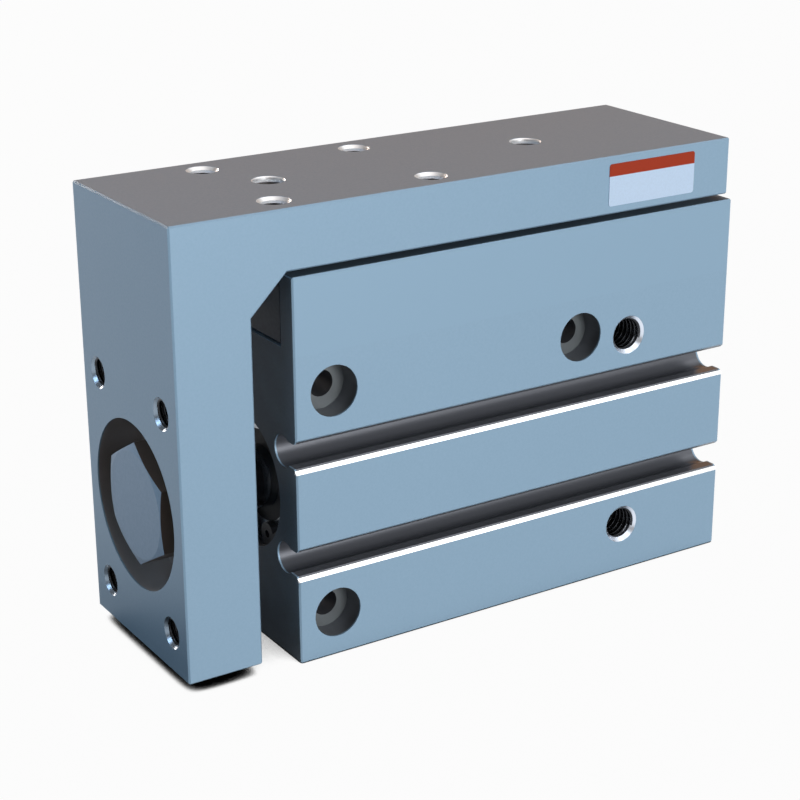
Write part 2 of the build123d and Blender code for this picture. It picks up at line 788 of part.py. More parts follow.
with BuildPart() as piston_wear_ring:
    turn(
        sleeve(
            wear_groove_front_x + ring_play / 2,
            wear_groove_rear_x - ring_play / 2,
            2 * (wear_floor_radius + seat_clearance),
            2 * seal_outer_radius,
        )
    )
piston_wear_ring.part.label = "piston_wear_ring"
export_step(piston_wear_ring.part, "parts/piston_wear_ring.step")

# Rubber bumpers on both faces of the piston
with BuildPart() as rod_side_bumper:
    turn(
        sleeve(stack_front_x, piston_front_x, rod_diameter + 2 * seat_clearance, bumper_diameter, edge_break)
    )
rod_side_bumper.part.label = "rod_side_bumper"
export_step(rod_side_bumper.part, "parts/rod_side_bumper.step")

with BuildPart() as head_side_bumper:
    turn(sleeve(piston_rear_x, stack_rear_x, spigot_diameter, bumper_diameter, edge_break))
head_side_bumper.part.label = "head_side_bumper"
export_step(head_side_bumper.part, "parts/head_side_bumper.step")

# Joint bolt: hexagon head in the end plate's recess, screwed into the rod
head_front_x = table_front_x + hexagon_setback
head_back_x = recess_floor_x - float_play
shank_radius = joint_thread_diameter / 2
corner_radius = hexagon_across_flats
flat_radius = hexagon_across_flats / 2 * hexagon_flat_share
bevel_run = (corner_radius - flat_radius) * tan(radians(hexagon_bevel_angle))
with BuildPart() as joint_bolt:
    with BuildSketch(cross_section(head_front_x)):
        with Locations((0, axis_height)):
            RegularPolygon(hexagon_across_flats / 2, 6, major_radius=False, rotation=30)
    extrude(amount=head_back_x - head_front_x)
    turn(
        [
            (head_front_x, 0),
            (head_front_x, flat_radius),
            (head_front_x + bevel_run, corner_radius),
            (head_back_x + bevel_run, corner_radius),
            (head_back_x + bevel_run, 0),
        ],
        mode=Mode.INTERSECT,
    )
    turn(
        [
            (head_back_x, 0),
            (head_back_x, shank_radius),
            (rod_front_x + joint_engagement - edge_break, shank_radius),
            (rod_front_x + joint_engagement, shank_radius - edge_break),
            (rod_front_x + joint_engagement, 0),
        ]
    )
joint_bolt.part.label = "joint_bolt"
export_step(joint_bolt.part, "parts/joint_bolt.step")

with BuildPart() as float_bush:
    turn(
        sleeve(head_back_x, bush_rear_x, 2 * thread_hole_radius, float_bush_diameter, edge_break)
    )
float_bush.part.label = "float_bush"
export_step(float_bush.part, "parts/float_bush.step")

with BuildPart() as float_washer:
    turn(
        sleeve(
            bush_rear_x, rod_front_x, 2 * thread_hole_radius, float_washer_diameter, edge_break
        )
    )
float_washer.part.label = "float_washer"
export_step(float_washer.part, "parts/float_washer.step")
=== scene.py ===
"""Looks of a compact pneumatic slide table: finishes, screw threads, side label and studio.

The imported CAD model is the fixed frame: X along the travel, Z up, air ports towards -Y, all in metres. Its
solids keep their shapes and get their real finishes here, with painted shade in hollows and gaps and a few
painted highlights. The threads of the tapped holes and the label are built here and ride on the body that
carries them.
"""

import json
import logging
import math
from dataclasses import astuple, dataclass
from enum import Enum
from typing import Any

import bmesh
import bpy
from mathutils import Matrix, Vector


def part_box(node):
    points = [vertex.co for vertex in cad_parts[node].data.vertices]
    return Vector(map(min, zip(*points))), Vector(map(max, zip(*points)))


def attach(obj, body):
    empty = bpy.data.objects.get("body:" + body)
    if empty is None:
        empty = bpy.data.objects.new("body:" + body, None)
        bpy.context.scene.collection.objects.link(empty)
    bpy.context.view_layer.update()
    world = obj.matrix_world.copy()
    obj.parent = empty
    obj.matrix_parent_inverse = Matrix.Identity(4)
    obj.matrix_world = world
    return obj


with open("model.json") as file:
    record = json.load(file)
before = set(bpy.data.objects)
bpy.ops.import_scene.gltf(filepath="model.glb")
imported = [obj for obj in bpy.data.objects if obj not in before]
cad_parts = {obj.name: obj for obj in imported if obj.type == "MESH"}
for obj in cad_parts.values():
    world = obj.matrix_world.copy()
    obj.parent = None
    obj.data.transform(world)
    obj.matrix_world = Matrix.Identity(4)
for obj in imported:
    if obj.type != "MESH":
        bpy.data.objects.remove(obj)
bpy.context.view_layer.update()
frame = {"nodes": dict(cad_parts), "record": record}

log = logging.getLogger("slide_table")

MM = 0.001
WHITE = "#FFFFFF"

# Planes of the CAD model that finishes and threads are placed from, in millimetres.
PORT_FACE_Y = -13.1
END_PLATE_X = -41.05
BODY_END_X = -25.75
BODY_TOP_Z = 49.7
TABLE_TOP_Z = 58.0
CYLINDER_Z = 20.3


def linear(colour: str) -> tuple[float, float, float, float]:
    """Turn an sRGB hex colour into the linear RGBA that shader sockets take.

    Args:
        colour: Six hex digits, with or without a leading hash.

    Returns:
        Linear red, green and blue, and an alpha of 1.
    """
    digits = colour.lstrip("#")
    channels = [int(digits[i : i + 2], 16) / 255 for i in (0, 2, 4)]
    # The sRGB curve is straight near black and a power above.
    flat = [c / 12.92 if c <= 0.04045 else ((c + 0.055) / 1.055) ** 2.4 for c in channels]
    return (flat[0], flat[1], flat[2], 1.0)


def add_node(
    tree: bpy.types.NodeTree, kind: str, inputs: dict[Any, Any] | None = None, **settings: Any
) -> bpy.types.Node:
    """Add one node with its settings, socket values and links.

    Args:
        tree: Node tree that takes the node.
        kind: Blender's identifier of the node type.
        inputs: Socket name or number to a value, or to an output socket that is linked to it.
        **settings: Properties of the node itself.

    Returns:
        The new node.
    """
    node = tree.nodes.new(kind)
    for key, value in settings.items():
        setattr(node, key, value)
    for key, value in (inputs or {}).items():
        if isinstance(value, bpy.types.NodeSocket):
            tree.links.new(value, node.inputs[key])
        else:
            node.inputs[key].default_value = value
    return node


class Lay(Enum):
    """How a surface was made, which sets the pattern of its fine marks."""

    BLASTED = "blasted"
    TURNED = "turned"
    GROUND = "ground"
    MOULDED = "moulded"
    POROUS = "porous"


class Side(Enum):
    """A side of the object, as its outward axis."""

    PORTS = (0.0, -1.0, 0.0)
    TOP = (0.0, 0.0, 1.0)
    FRONT = (-1.0, 0.0, 0.0)


@dataclass(frozen=True)
class Surface:
    """A look laid over part of a finish: its colour, how metallic it is and how rough."""

    colour: str
    metallic: float
    roughness: float


@dataclass(frozen=True)
class Pattern:
    """Places on one side, mirrored about a middle point at half their spacing, in millimetres."""

    side: Side
    centre: tuple[float, float, float]
    half_pitch: tuple[float, float, float] = (0.0, 0.0, 0.0)


@dataclass(frozen=True)
class Recut:
    """Places whose surface differs from the finish round them, mostly because a tool cut them later; others
    carry painted shade or a painted highlight.

    They lie within half_size of the pattern's points and between two depths below its side, in millimetres.
    """

    surface: Surface
    pattern: Pattern
    half_size: float
    depths: tuple[float, float]

    def mask(self, tree: bpy.types.NodeTree, place: bpy.types.NodeSocket) -> bpy.types.NodeSocket:
        """Mark the recut places.

        Args:
            tree: Node tree of the material.
            place: Object coordinates, in metres.

        Returns:
            A socket that is 1 within half_size of a pattern point, across the side's axis, and between the
            depths, and 0 elsewhere.
        """
        axis = Vector(self.pattern.side.value)
        across = Vector([1 - abs(part) for part in axis])
        offset = self._offset(tree, place)
        height = add_node(
            tree, "ShaderNodeVectorMath", {0: offset, 1: axis}, operation="DOT_PRODUCT"
        ).outputs["Value"]
        shallow, deep = self.depths
        in_depth = add_node(
            tree,
            "ShaderNodeMath",
            {0: height, 1: -(shallow + deep) / 2 * MM, 2: (deep - shallow) / 2 * MM},
            operation="COMPARE",
        ).outputs[0]
        folded = add_node(tree, "ShaderNodeVectorMath", {0: offset}, operation="ABSOLUTE").outputs[0]
        half_pitch = Vector(self.pattern.half_pitch) * MM
        centred = add_node(
            tree, "ShaderNodeVectorMath", {0: folded, 1: half_pitch}, operation="SUBTRACT"
        ).outputs[0]
        flat = add_node(
            tree, "ShaderNodeVectorMath", {0: centred, 1: across}, operation="MULTIPLY"
        ).outputs[0]
        distance = add_node(tree, "ShaderNodeVectorMath", {0: flat}, operation="LENGTH").outputs["Value"]
        near = add_node(
            tree, "ShaderNodeMath", {0: distance, 1: self.half_size * MM}, operation="LESS_THAN"
        ).outputs[0]
        return add_node(tree, "ShaderNodeMath", {0: near, 1: in_depth}, operation="MULTIPLY").outputs[0]

    def _offset(self, tree: bpy.types.NodeTree, place: bpy.types.NodeSocket) -> bpy.types.NodeSocket:
        """Return the place as seen from the pattern's middle, in metres."""
        middle = Vector(self.pattern.centre) * MM
        return add_node(tree, "ShaderNodeVectorMath", {0: place, 1: middle}, operation="SUBTRACT").outputs[0]


@dataclass(frozen=True)
class GrooveLip(Recut):
    """A recut strip along the travel: the lower lip of a sensor groove."""

    def mask(self, tree: bpy.types.NodeTree, place: bpy.types.NodeSocket) -> bpy.types.NodeSocket:
        """Mark the strip, all along the travel.

        Args:
            tree: Node tree of the material.
            place: Object coordinates, in metres.

        Returns:
            A socket that is 1 within half_size of the strip's height and between its depths, and 0 elsewhere.
        """
        axes = add_node(tree, "ShaderNodeSeparateXYZ", {0: self._offset(tree, place)}).outputs
        shallow, deep = self.depths
        in_depth = add_node(
            tree,
            "ShaderNodeMath",
            {0: axes["Y"], 1: (shallow + deep) / 2 * MM, 2: (deep - shallow) / 2 * MM},
            operation="COMPARE",
        ).outputs[0]
        near = add_node(
            tree, "ShaderNodeMath", {0: axes["Z"], 1: 0.0, 2: self.half_size * MM}, operation="COMPARE"
        ).outputs[0]
        return add_node(tree, "ShaderNodeMath", {0: near, 1: in_depth}, operation="MULTIPLY").outputs[0]


@dataclass(frozen=True)
class Flanks(Recut):
    """The side walls of a boss, whose normals lean towards the side's axis by this cosine at most."""

    lean: float = 0.5

    def mask(self, tree: bpy.types.NodeTree, place: bpy.types.NodeSocket) -> bpy.types.NodeSocket:
        """Mark the walls that stand along the axis.

        Args:
            tree: Node tree of the material.
            place: Object coordinates, in metres.

        Returns:
            A socket that is 1 at the walls within the pattern, and 0 at its sloped and flat faces.
        """
        facing = add_node(tree, "ShaderNodeNewGeometry").outputs["True Normal"]
        slope = add_node(
            tree, "ShaderNodeVectorMath", {0: facing, 1: self.pattern.side.value}, operation="DOT_PRODUCT"
        ).outputs["Value"]
        upright = add_node(
            tree, "ShaderNodeMath", {0: slope, 1: 0.0, 2: self.lean}, operation="COMPARE"
        ).outputs[0]
        within = super().mask(tree, place)
        return add_node(tree, "ShaderNodeMath", {0: upright, 1: within}, operation="MULTIPLY").outputs[0]


@dataclass(frozen=True)
class GapPaintedShade(Recut):
    """Painted shade on a face that another part stands close before, where little light gets in."""

    reach_mm: float = 9.0
    openness_range: tuple[float, float] = (0.6, 0.95)
    share: float = 0.8
    rays: int = 4

    def mask(self, tree: bpy.types.NodeTree, place: bpy.types.NodeSocket) -> bpy.types.NodeSocket:
        """Paint shade on the face by how near the other part is.

        Args:
            tree: Node tree of the material.
            place: Object coordinates, in metres.

        Returns:
            A socket with the share of painted shade, which falls to 0 as the parts move apart.
        """
        openness = add_node(
            tree, "ShaderNodeAmbientOcclusion", {"Distance": self.reach_mm * MM}, samples=self.rays
        ).outputs["AO"]
        covered, free = self.openness_range
        dark = add_node(
            tree,
            "ShaderNodeMapRange",
            {"Value": openness, "From Min": covered, "From Max": free, "To Min": self.share, "To Max": 0.0},
        ).outputs[0]
        within = super().mask(tree, place)
        return add_node(tree, "ShaderNodeMath", {0: dark, 1: within}, operation="MULTIPLY").outputs[0]


@dataclass(frozen=True)
class Finish:
    """A real surface: its material, how it was made, what that gives the eye, and painted shade or
    highlights.
    """

    name: str
    colour: str
    mark_colour: str
    metallic: float
    roughness: float
    lay: Lay
    mark_mm: float
    mark_depth_mm: float
    roughness_swing: float = 0.08
    mottle: float = 0.25
    coat: float = 0.0
    recuts: tuple[Recut, ...] = ()

    MOTTLE_MM = 9.0
    MOTTLE_DETAIL = 3.0
    # Width of one ring of Blender's Wave texture at a scale of 1.
    WAVE_PERIOD = 0.314
    RING_WOBBLE = 0.4
    RING_DETAIL = 1.0
    STREAK_STRETCH = 0.03
    STREAK_DETAIL = 4.0
    PORE_EDGE = 0.35
    PORE_FLOOR = 0.2
    MOULDED_DETAIL = 5.0
    BLASTED_DETAIL = 2.0
    LEAST_ROUGHNESS = 0.02
    COAT_ROUGHNESS = 0.15

    def material(self) -> bpy.types.Material:
        """Return the finish's material, built once for each name."""
        found = bpy.data.materials.get(self.name)
        return found or self._build()

    def _build(self) -> bpy.types.Material:
        """Build the node tree: fine marks drive colour, roughness and bump, and a soft mottle the shade.

        Returns:
            The new material.
        """
        material = bpy.data.materials.new(self.name)
        material.use_nodes = True
        tree = material.node_tree
        tree.nodes.clear()
        place = add_node(tree, "ShaderNodeTexCoord").outputs["Object"]
        marks = self._marks(tree, place)
        mottle = add_node(
            tree,
            "ShaderNodeTexNoise",
            {"Vector": place, "Scale": 1 / (self.MOTTLE_MM * MM), "Detail": self.MOTTLE_DETAIL},
        ).outputs["Fac"]
        blend = add_node(
            tree,
            "ShaderNodeMath",
            {0: mottle, 1: self.mottle, 2: marks},
            operation="MULTIPLY_ADD",
            use_clamp=True,
        ).outputs[0]
        shade = add_node(
            tree,
            "ShaderNodeMix",
            {"Factor": blend, "A": linear(self.colour), "B": linear(self.mark_colour)},
            data_type="RGBA",
        ).outputs[2]
        rough = add_node(
            tree,
            "ShaderNodeMapRange",
            {
                "Value": marks,
                "To Min": max(self.roughness - self.roughness_swing, self.LEAST_ROUGHNESS),
                "To Max": self.roughness + self.roughness_swing,
            },
        ).outputs[0]
        bump = add_node(
            tree,
            "ShaderNodeBump",
            {"Strength": 1.0, "Distance": self.mark_depth_mm * MM, "Height": marks},
            invert=True,
        ).outputs[0]
        looks = {
            "Base Color": shade,
            "Metallic": self.metallic,
            "Roughness": rough,
            "Coat Weight": self.coat,
            "Coat Roughness": self.COAT_ROUGHNESS,
            "Normal": bump,
        }
        self._worked(tree, place, looks)
        for recut in self.recuts:
            self._lay(tree, looks, recut.mask(tree, place), recut.surface)
        shader = add_node(tree, "ShaderNodeBsdfPrincipled", looks)
        add_node(tree, "ShaderNodeOutputMaterial", {"Surface": shader.outputs[0]})
        return material

    def _worked(
        self, tree: bpy.types.NodeTree, place: bpy.types.NodeSocket, looks: dict[str, Any]
    ) -> None:
        """Change the looks by where the surface lies; a plain finish is the same all over."""

    def _lay(
        self,
        tree: bpy.types.NodeTree,
        looks: dict[str, Any],
        share: bpy.types.NodeSocket,
        surface: Surface,
    ) -> None:
        """Mix the looks towards another surface.

        Args:
            tree: Node tree of the material.
            looks: Inputs of the shader, changed in place.
            share: How much of the other surface shows, from 0 to 1.
            surface: The other surface.
        """
        looks["Base Color"] = add_node(
            tree,
            "ShaderNodeMix",
            {"Factor": share, "A": looks["Base Color"], "B": linear(surface.colour)},
            data_type="RGBA",
        ).outputs[2]
        for socket, value in (("Metallic", surface.metallic), ("Roughness", surface.roughness)):
            looks[socket] = add_node(
                tree, "ShaderNodeMix", {"Factor": share, "A": looks[socket], "B": value}
            ).outputs[0]

    def _marks(self, tree: bpy.types.NodeTree, place: bpy.types.NodeSocket) -> bpy.types.NodeSocket:
        """Draw the fine marks of the finish's lay.

        Args:
            tree: Node tree of the material.
            place: Object coordinates, in metres.

        Returns:
            A socket from 0, plain surface, to 1, middle of a mark.
        """
        scale = 1 / (self.mark_mm * MM)
        if self.lay is Lay.TURNED:
            centred = add_node(
                tree, "ShaderNodeMapping", {"Vector": place, "Location": (0, 0, -CYLINDER_Z * MM)}
            )
            wave = add_node(
                tree,
                "ShaderNodeTexWave",
                {
                    "Vector": centred.outputs[0],
                    "Scale": self.WAVE_PERIOD * scale,
                    "Distortion": self.RING_WOBBLE,
                    "Detail": self.RING_DETAIL,
                },
                wave_type="RINGS",
                rings_direction="X",
            )
            return wave.outputs["Fac"]
        if self.lay is Lay.GROUND:
            drawn_out = add_node(
                tree, "ShaderNodeMapping", {"Vector": place, "Scale": (self.STREAK_STRETCH, 1, 1)}
            )
            streaks = add_node(
                tree,
                "ShaderNodeTexNoise",
                {"Vector": drawn_out.outputs[0], "Scale": scale, "Detail": self.STREAK_DETAIL},
            )
            return streaks.outputs["Fac"]
        if self.lay is Lay.POROUS:
            cells = add_node(tree, "ShaderNodeTexVoronoi", {"Vector": place, "Scale": scale})
            pores = add_node(
                tree,
                "ShaderNodeMapRange",
                {"Value": cells.outputs["Distance"], "From Min": self.PORE_EDGE, "From Max": self.PORE_FLOOR},
            )
            return pores.outputs[0]
        detail = self.MOULDED_DETAIL if self.lay is Lay.MOULDED else self.BLASTED_DETAIL
        grain = add_node(tree, "ShaderNodeTexNoise", {"Vector": place, "Scale": scale, "Detail": detail})
        return grain.outputs["Fac"]


@dataclass(frozen=True)
class BlockFinish(Finish):
    """Anodised block with painted shade inside its bores and slots, where it is dark and smoother, and bare
    where it was cut again.
    """

    node: str = ""
    # Painted shade: a dark, smoother surface over every face that lies inside the block's outer faces.
    recess_painted_shade: Surface = Surface("#65686F", 0.4, 0.3)
    skin_mm: float = 0.2
    fade_mm: float = 0.08

    def _worked(
        self, tree: bpy.types.NodeTree, place: bpy.types.NodeSocket, looks: dict[str, Any]
    ) -> None:
        """Paint shade on what lies inside the block's outer faces.

        Args:
            tree: Node tree of the material.
            place: Object coordinates, in metres.
            looks: Inputs of the shader, changed in place.
        """
        low, high = (Vector(corner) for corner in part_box(self.node))
        middle = (low + high) / 2
        half = (high - low) / 2 - Vector((self.skin_mm,) * 3) * MM
        offset = add_node(
            tree, "ShaderNodeVectorMath", {0: place, 1: middle}, operation="SUBTRACT"
        ).outputs[0]
        spread = add_node(tree, "ShaderNodeVectorMath", {0: offset}, operation="ABSOLUTE").outputs[0]
        beyond = add_node(
            tree, "ShaderNodeVectorMath", {0: spread, 1: half}, operation="SUBTRACT"
        ).outputs[0]
        sides = add_node(tree, "ShaderNodeSeparateXYZ", {0: beyond}).outputs
        level = add_node(
            tree, "ShaderNodeMath", {0: sides["X"], 1: sides["Y"]}, operation="MAXIMUM"
        ).outputs[0]
        outside = add_node(
            tree, "ShaderNodeMath", {0: level, 1: sides["Z"]}, operation="MAXIMUM"
        ).outputs[0]
        inside = add_node(
            tree, "ShaderNodeMapRange", {"Value": outside, "From Min": 0.0, "From Max": -self.fade_mm * MM}
        ).outputs[0]
        self._lay(tree, looks, inside, self.recess_painted_shade)


# Where the recut places lie, in millimetres.
GROOVE_LIPS = tuple(Pattern(Side.PORTS, (0, PORT_FACE_Y, height)) for height in (25.45, 11.35))
AIR_PORTS = Pattern(Side.PORTS, (24.35, PORT_FACE_Y, CYLINDER_Z), (0, 0, 13.5))
SIDE_MOUNTS = Pattern(Side.PORTS, (-1.95, PORT_FACE_Y, CYLINDER_Z), (18.4, 0, 14.6))
END_TAPS = Pattern(Side.FRONT, (END_PLATE_X, 0, 20.75), (0, 8.75, 14.05))
JOINT = Pattern(Side.FRONT, (END_PLATE_X, 0, CYLINDER_Z))
TOP_TAPS = Pattern(Side.TOP, (-14.75, 0, TABLE_TOP_Z), (10.85, 9.0, 0))
TOP_ACCESS = Pattern(Side.TOP, (-2.35, 0, TABLE_TOP_Z), (19.0, 0, 0))
BODY_TOP = Pattern(Side.TOP, (7.65, 0, BODY_TOP_Z))
BODY_END = Pattern(Side.FRONT, (BODY_END_X, 0, 24.85))

# Aluminium cut again after anodising: bright lips, port mouths and chamfers. The counterbore seats and the
# hexagon's flanks get a duller painted shade.
CUT_ALUMINIUM = "#F4F5F6"
TOP_CHAMFER = Surface(CUT_ALUMINIUM, 1.0, 0.48)
LIP = Surface(CUT_ALUMINIUM, 1.0, 0.2)
LOWER_LIPS = tuple(GrooveLip(LIP, place, half_size=0.36, depths=(0.01, 0.42)) for place in GROOVE_LIPS)
PORT_MOUTHS = Recut(Surface("#E2EBF8", 1.0, 0.3), AIR_PORTS, half_size=2.65, depths=(0.02, 0.52))
# Painted shade on the counterbores' seats: dull grey.
COUNTERBORE_SEAT_SHADE = Recut(Surface("#6A7073", 0.5, 0.4), SIDE_MOUNTS, half_size=3.3, depths=(3.25, 3.35))
END_TAP_MOUTHS = Recut(Surface("#9BACBD", 0.7, 0.27), END_TAPS, half_size=2.1, depths=(0.02, 0.42))
TOP_TAP_CHAMFERS = Recut(TOP_CHAMFER, TOP_TAPS, half_size=2.1, depths=(0.02, 0.41))
TOP_ACCESS_CHAMFERS = Recut(TOP_CHAMFER, TOP_ACCESS, half_size=2.15, depths=(0.02, 0.41))
# Painted shade on the hexagon's side walls: dull brown-grey.
HEXAGON_FLANK_SHADE = Flanks(Surface("#857A72", 0.5, 0.35), JOINT, half_size=9.0, depths=(0.0, 40.0))

# Painted highlight on the rim of the top holes below the chamfer: pale and matte, so that it catches the
# light from above.
RIM_PAINTED_HIGHLIGHT = Surface("#F7FAFF", 0.1, 0.4)
TOP_TAP_RIMS = Recut(RIM_PAINTED_HIGHLIGHT, TOP_TAPS, half_size=2.1, depths=(0.3, 0.7))
TOP_ACCESS_RIMS = Recut(RIM_PAINTED_HIGHLIGHT, TOP_ACCESS, half_size=2.15, depths=(0.3, 0.7))

# Bores and tapping drills of the table: painted shade inside them, dark and smooth in the drilled walls and a
# paler grey in the joint's recess.
DRILL_PAINTED_SHADE = Surface("#7C7A7A", 0.4, 0.3)
JOINT_RECESS = Recut(Surface("#B0AEAE", 0.4, 0.3), JOINT, half_size=10.95, depths=(0.2, 6.3))
END_TAP_WALLS = Recut(DRILL_PAINTED_SHADE, END_TAPS, half_size=1.75, depths=(0.42, 11.0))
TOP_TAP_WALLS = Recut(DRILL_PAINTED_SHADE, TOP_TAPS, half_size=1.75, depths=(0.7, 8.0))
TOP_ACCESS_WALLS = Recut(DRILL_PAINTED_SHADE, TOP_ACCESS, half_size=2.15, depths=(0.7, 8.0))

# Pocket of the linear guide: milled before anodising, so it has the same skin as the outside.
GUIDE_POCKET = Recut(Surface("#8DACC4", 0.2, 0.42), BODY_TOP, half_size=60.0, depths=(0.03, 9.7))

# Painted shade on the faces in the gaps to the table: the end behind the end plate, and the top under the
# table.
GAP_PAINTED_SHADE = Surface("#121316", 0.0, 0.7)
GAP_PAINTED_SHADES = (
    GapPaintedShade(GAP_PAINTED_SHADE, BODY_END, half_size=40.0, depths=(-0.05, 0.03)),
    GapPaintedShade(GAP_PAINTED_SHADE, BODY_TOP, half_size=60.0, depths=(-0.05, 0.03)),
)

# Aluminium, bead-blasted and clear anodised: matte, cool grey, with a very fine even grain.
# The real grain is about 0.05 mm and is drawn at 0.3 mm, so that it shows.
ANODISED_BODY = BlockFinish(
    "anodised_body", "#91AFC7", "#89A8C0", 0.2, 0.42, Lay.BLASTED, mark_mm=0.3, mark_depth_mm=0.006,
    node="body", recuts=(GUIDE_POCKET, *GAP_PAINTED_SHADES, *LOWER_LIPS, PORT_MOUTHS, COUNTERBORE_SEAT_SHADE),
)
ANODISED_TABLE = Finish(
    "anodised_table", "#91AFC7", "#89A8C0", 0.2, 0.42, Lay.BLASTED, mark_mm=0.3, mark_depth_mm=0.006,
    recuts=(
        JOINT_RECESS, END_TAP_WALLS, TOP_TAP_WALLS, TOP_ACCESS_WALLS, END_TAP_MOUTHS, TOP_TAP_RIMS,
        TOP_ACCESS_RIMS, TOP_TAP_CHAMFERS, TOP_ACCESS_CHAMFERS,
    ),
)

# Tapped after anodising: bare threads in a dark painted shade, that glint at their crests, with the painted
# highlight of the top holes' rims.
THREADS_PAINTED_SHADE = Finish(
    "threads_painted_shade", "#44464A", "#2E3033", 1.0, 0.28, Lay.GROUND, mark_mm=0.2, mark_depth_mm=0.002,
    recuts=(TOP_TAP_RIMS,),
)

# The same anodising over a milled hexagon: a little darker, with coarser marks.
ANODISED_JOINT = Finish(
    "anodised_hexagon", "#85A4C0", "#7A98B3", 0.2, 0.42, Lay.BLASTED, mark_mm=0.4, mark_depth_mm=0.008,
    recuts=(HEXAGON_FLANK_SHADE,),
)

# Aluminium as it leaves the lathe: bright, with fine rings from the tool's feed.
TURNED_ALUMINIUM = Finish(
    "turned_aluminium", "#C6C9CC", "#AEB2B6", 1.0, 0.3, Lay.TURNED, mark_mm=0.18, mark_depth_mm=0.004
)

# Hardened bearing steel, ground along the travel: bright, with fine straight streaks.
GROUND_STEEL = Finish(
    "ground_steel", "#B4B6B9", "#9A9DA1", 1.0, 0.26, Lay.GROUND, mark_mm=0.12, mark_depth_mm=0.002
)

# Spring steel, stamped and phosphated: dull dark grey, faintly speckled.
PHOSPHATED_STEEL = Finish(
    "phosphated_steel", "#4A4B4E", "#35363A", 0.7, 0.48, Lay.BLASTED, mark_mm=0.2, mark_depth_mm=0.005
)

# Alloy steel with black oxide: nearly black, with a soft oily sheen.
BLACK_OXIDE_STEEL = Finish(
    "black_oxide_steel", "#2B2B2D", "#1E1E20", 0.8, 0.34, Lay.BLASTED, mark_mm=0.25, mark_depth_mm=0.004
)

# Steel with hard chrome, ground and polished: almost a mirror.
HARD_CHROME = Finish(
    "polished_chrome", "#D6D8DB", "#C9CBCE", 1.0, 0.1, Lay.GROUND, mark_mm=0.2, mark_depth_mm=0.0005,
    roughness_swing=0.03,
)

# Sintered bronze, full of oil: warm brown-gold with small dark pores.
SINTERED_BRONZE = Finish(
    "sintered_bronze", "#A98455", "#5E4629", 0.9, 0.42, Lay.POROUS, mark_mm=0.35, mark_depth_mm=0.02,
    mottle=0.1,
)

# Nitrile rubber, moulded: black and dull.
NITRILE_RUBBER = Finish(
    "nitrile_rubber", "#202022", "#161617", 0.0, 0.58, Lay.MOULDED, mark_mm=0.5, mark_depth_mm=0.01
)

# The same rubber as a wiping lip over the rail: greyer, from the fine dust that it holds back.
WIPER_RUBBER = Finish(
    "wiper_rubber", "#4A525C", "#3E454E", 0.0, 0.6, Lay.MOULDED, mark_mm=0.5, mark_depth_mm=0.01
)

# Polyurethane, cast: brown and slightly glossy, with a cloudy depth.
POLYURETHANE = Finish(
    "polyurethane", "#7A4E26", "#5F3B1B", 0.0, 0.4, Lay.MOULDED, mark_mm=0.8, mark_depth_mm=0.006, coat=0.2
)

# Acetal plastic, moulded: dark blue-grey with a fine spark-eroded grain.
ACETAL = Finish("acetal", "#33383D", "#292D31", 0.0, 0.45, Lay.MOULDED, mark_mm=0.35, mark_depth_mm=0.008)

# Ferrite powder bonded with plastic: dark brown-grey with fine specks.
BONDED_FERRITE = Finish(
    "bonded_ferrite", "#3C3837", "#2A2726", 0.2, 0.55, Lay.BLASTED, mark_mm=0.2, mark_depth_mm=0.006
)

NODE_FINISHES: dict[str, Finish] = {
    "body": ANODISED_BODY,
    "table": ANODISED_TABLE,
    "carriage_end_seals": WIPER_RUBBER,
}

SLOT_FINISHES: dict[str, Finish] = {
    "anodised_joint": ANODISED_JOINT,
    "plain_aluminium": TURNED_ALUMINIUM,
    "steel": GROUND_STEEL,
    "spring_steel": PHOSPHATED_STEEL,
    "dark_steel": BLACK_OXIDE_STEEL,
    "hard_chrome": HARD_CHROME,
    "bronze": SINTERED_BRONZE,
    "rubber": NITRILE_RUBBER,
    "bumper_rubber": POLYURETHANE,
    "guide_plastic": ACETAL,
    "magnet": BONDED_FERRITE,
}


@dataclass(frozen=True)
class LabelFilm:
    """Printed vinyl film under a clear laminate: a pale field with a red-orange band along its top."""

    name: str = "label_film"
    field_colour: str = "#C9DFF8"
    band_colour: str = "#A2361C"
    roughness: float = 0.55
    gloss: float = 0.2
    print_grain_mm: float = 0.25
    print_grain: float = 0.06
    print_grain_detail: float = 2.0
    edge_softness_mm: float = 0.03

    def material(self, band_foot: float) -> bpy.types.Material:
        """Build the film's material.

        Args:
            band_foot: Height of the band's lower edge, in metres.

        Returns:
            The material, with the band placed by the piece's own Z coordinate.
        """
        material = bpy.data.materials.new(self.name)
        material.use_nodes = True
        tree = material.node_tree
        tree.nodes.clear()
        place = add_node(tree, "ShaderNodeTexCoord").outputs["Object"]
        height = add_node(tree, "ShaderNodeSeparateXYZ", {0: place}).outputs["Z"]
        soft = self.edge_softness_mm * MM
        band = add_node(
            tree,
            "ShaderNodeMapRange",
            {"Value": height, "From Min": band_foot - soft, "From Max": band_foot + soft},
        ).outputs[0]
        inks = add_node(
            tree,
            "ShaderNodeMix",
            {"Factor": band, "A": linear(self.field_colour), "B": linear(self.band_colour)},
            data_type="RGBA",
        ).outputs[2]
        grain = add_node(
            tree,
            "ShaderNodeTexNoise",
            {"Vector": place, "Scale": 1 / (self.print_grain_mm * MM), "Detail": self.print_grain_detail},
        ).outputs["Fac"]
        value = add_node(
            tree,
            "ShaderNodeMapRange",
            {"Value": grain, "To Min": 1 - self.print_grain, "To Max": 1 + self.print_grain},
        ).outputs[0]
        printed = add_node(tree, "ShaderNodeHueSaturation", {"Value": value, "Color": inks}).outputs[0]
        shader = add_node(
            tree,
            "ShaderNodeBsdfPrincipled",
            {"Base Color": printed, "Roughness": self.roughness, "Specular IOR Level": self.gloss},
        )
        add_node(tree, "ShaderNodeOutputMaterial", {"Surface": shader.outputs[0]})
        return material


@dataclass(frozen=True)
class TappedHoles:
    """A group of equal tapped holes, in millimetres."""

    side: Side
    mouths: tuple[tuple[float, float, float], ...]
    drill: float
    pitch: float
    depth: float
    mouth_depth: float


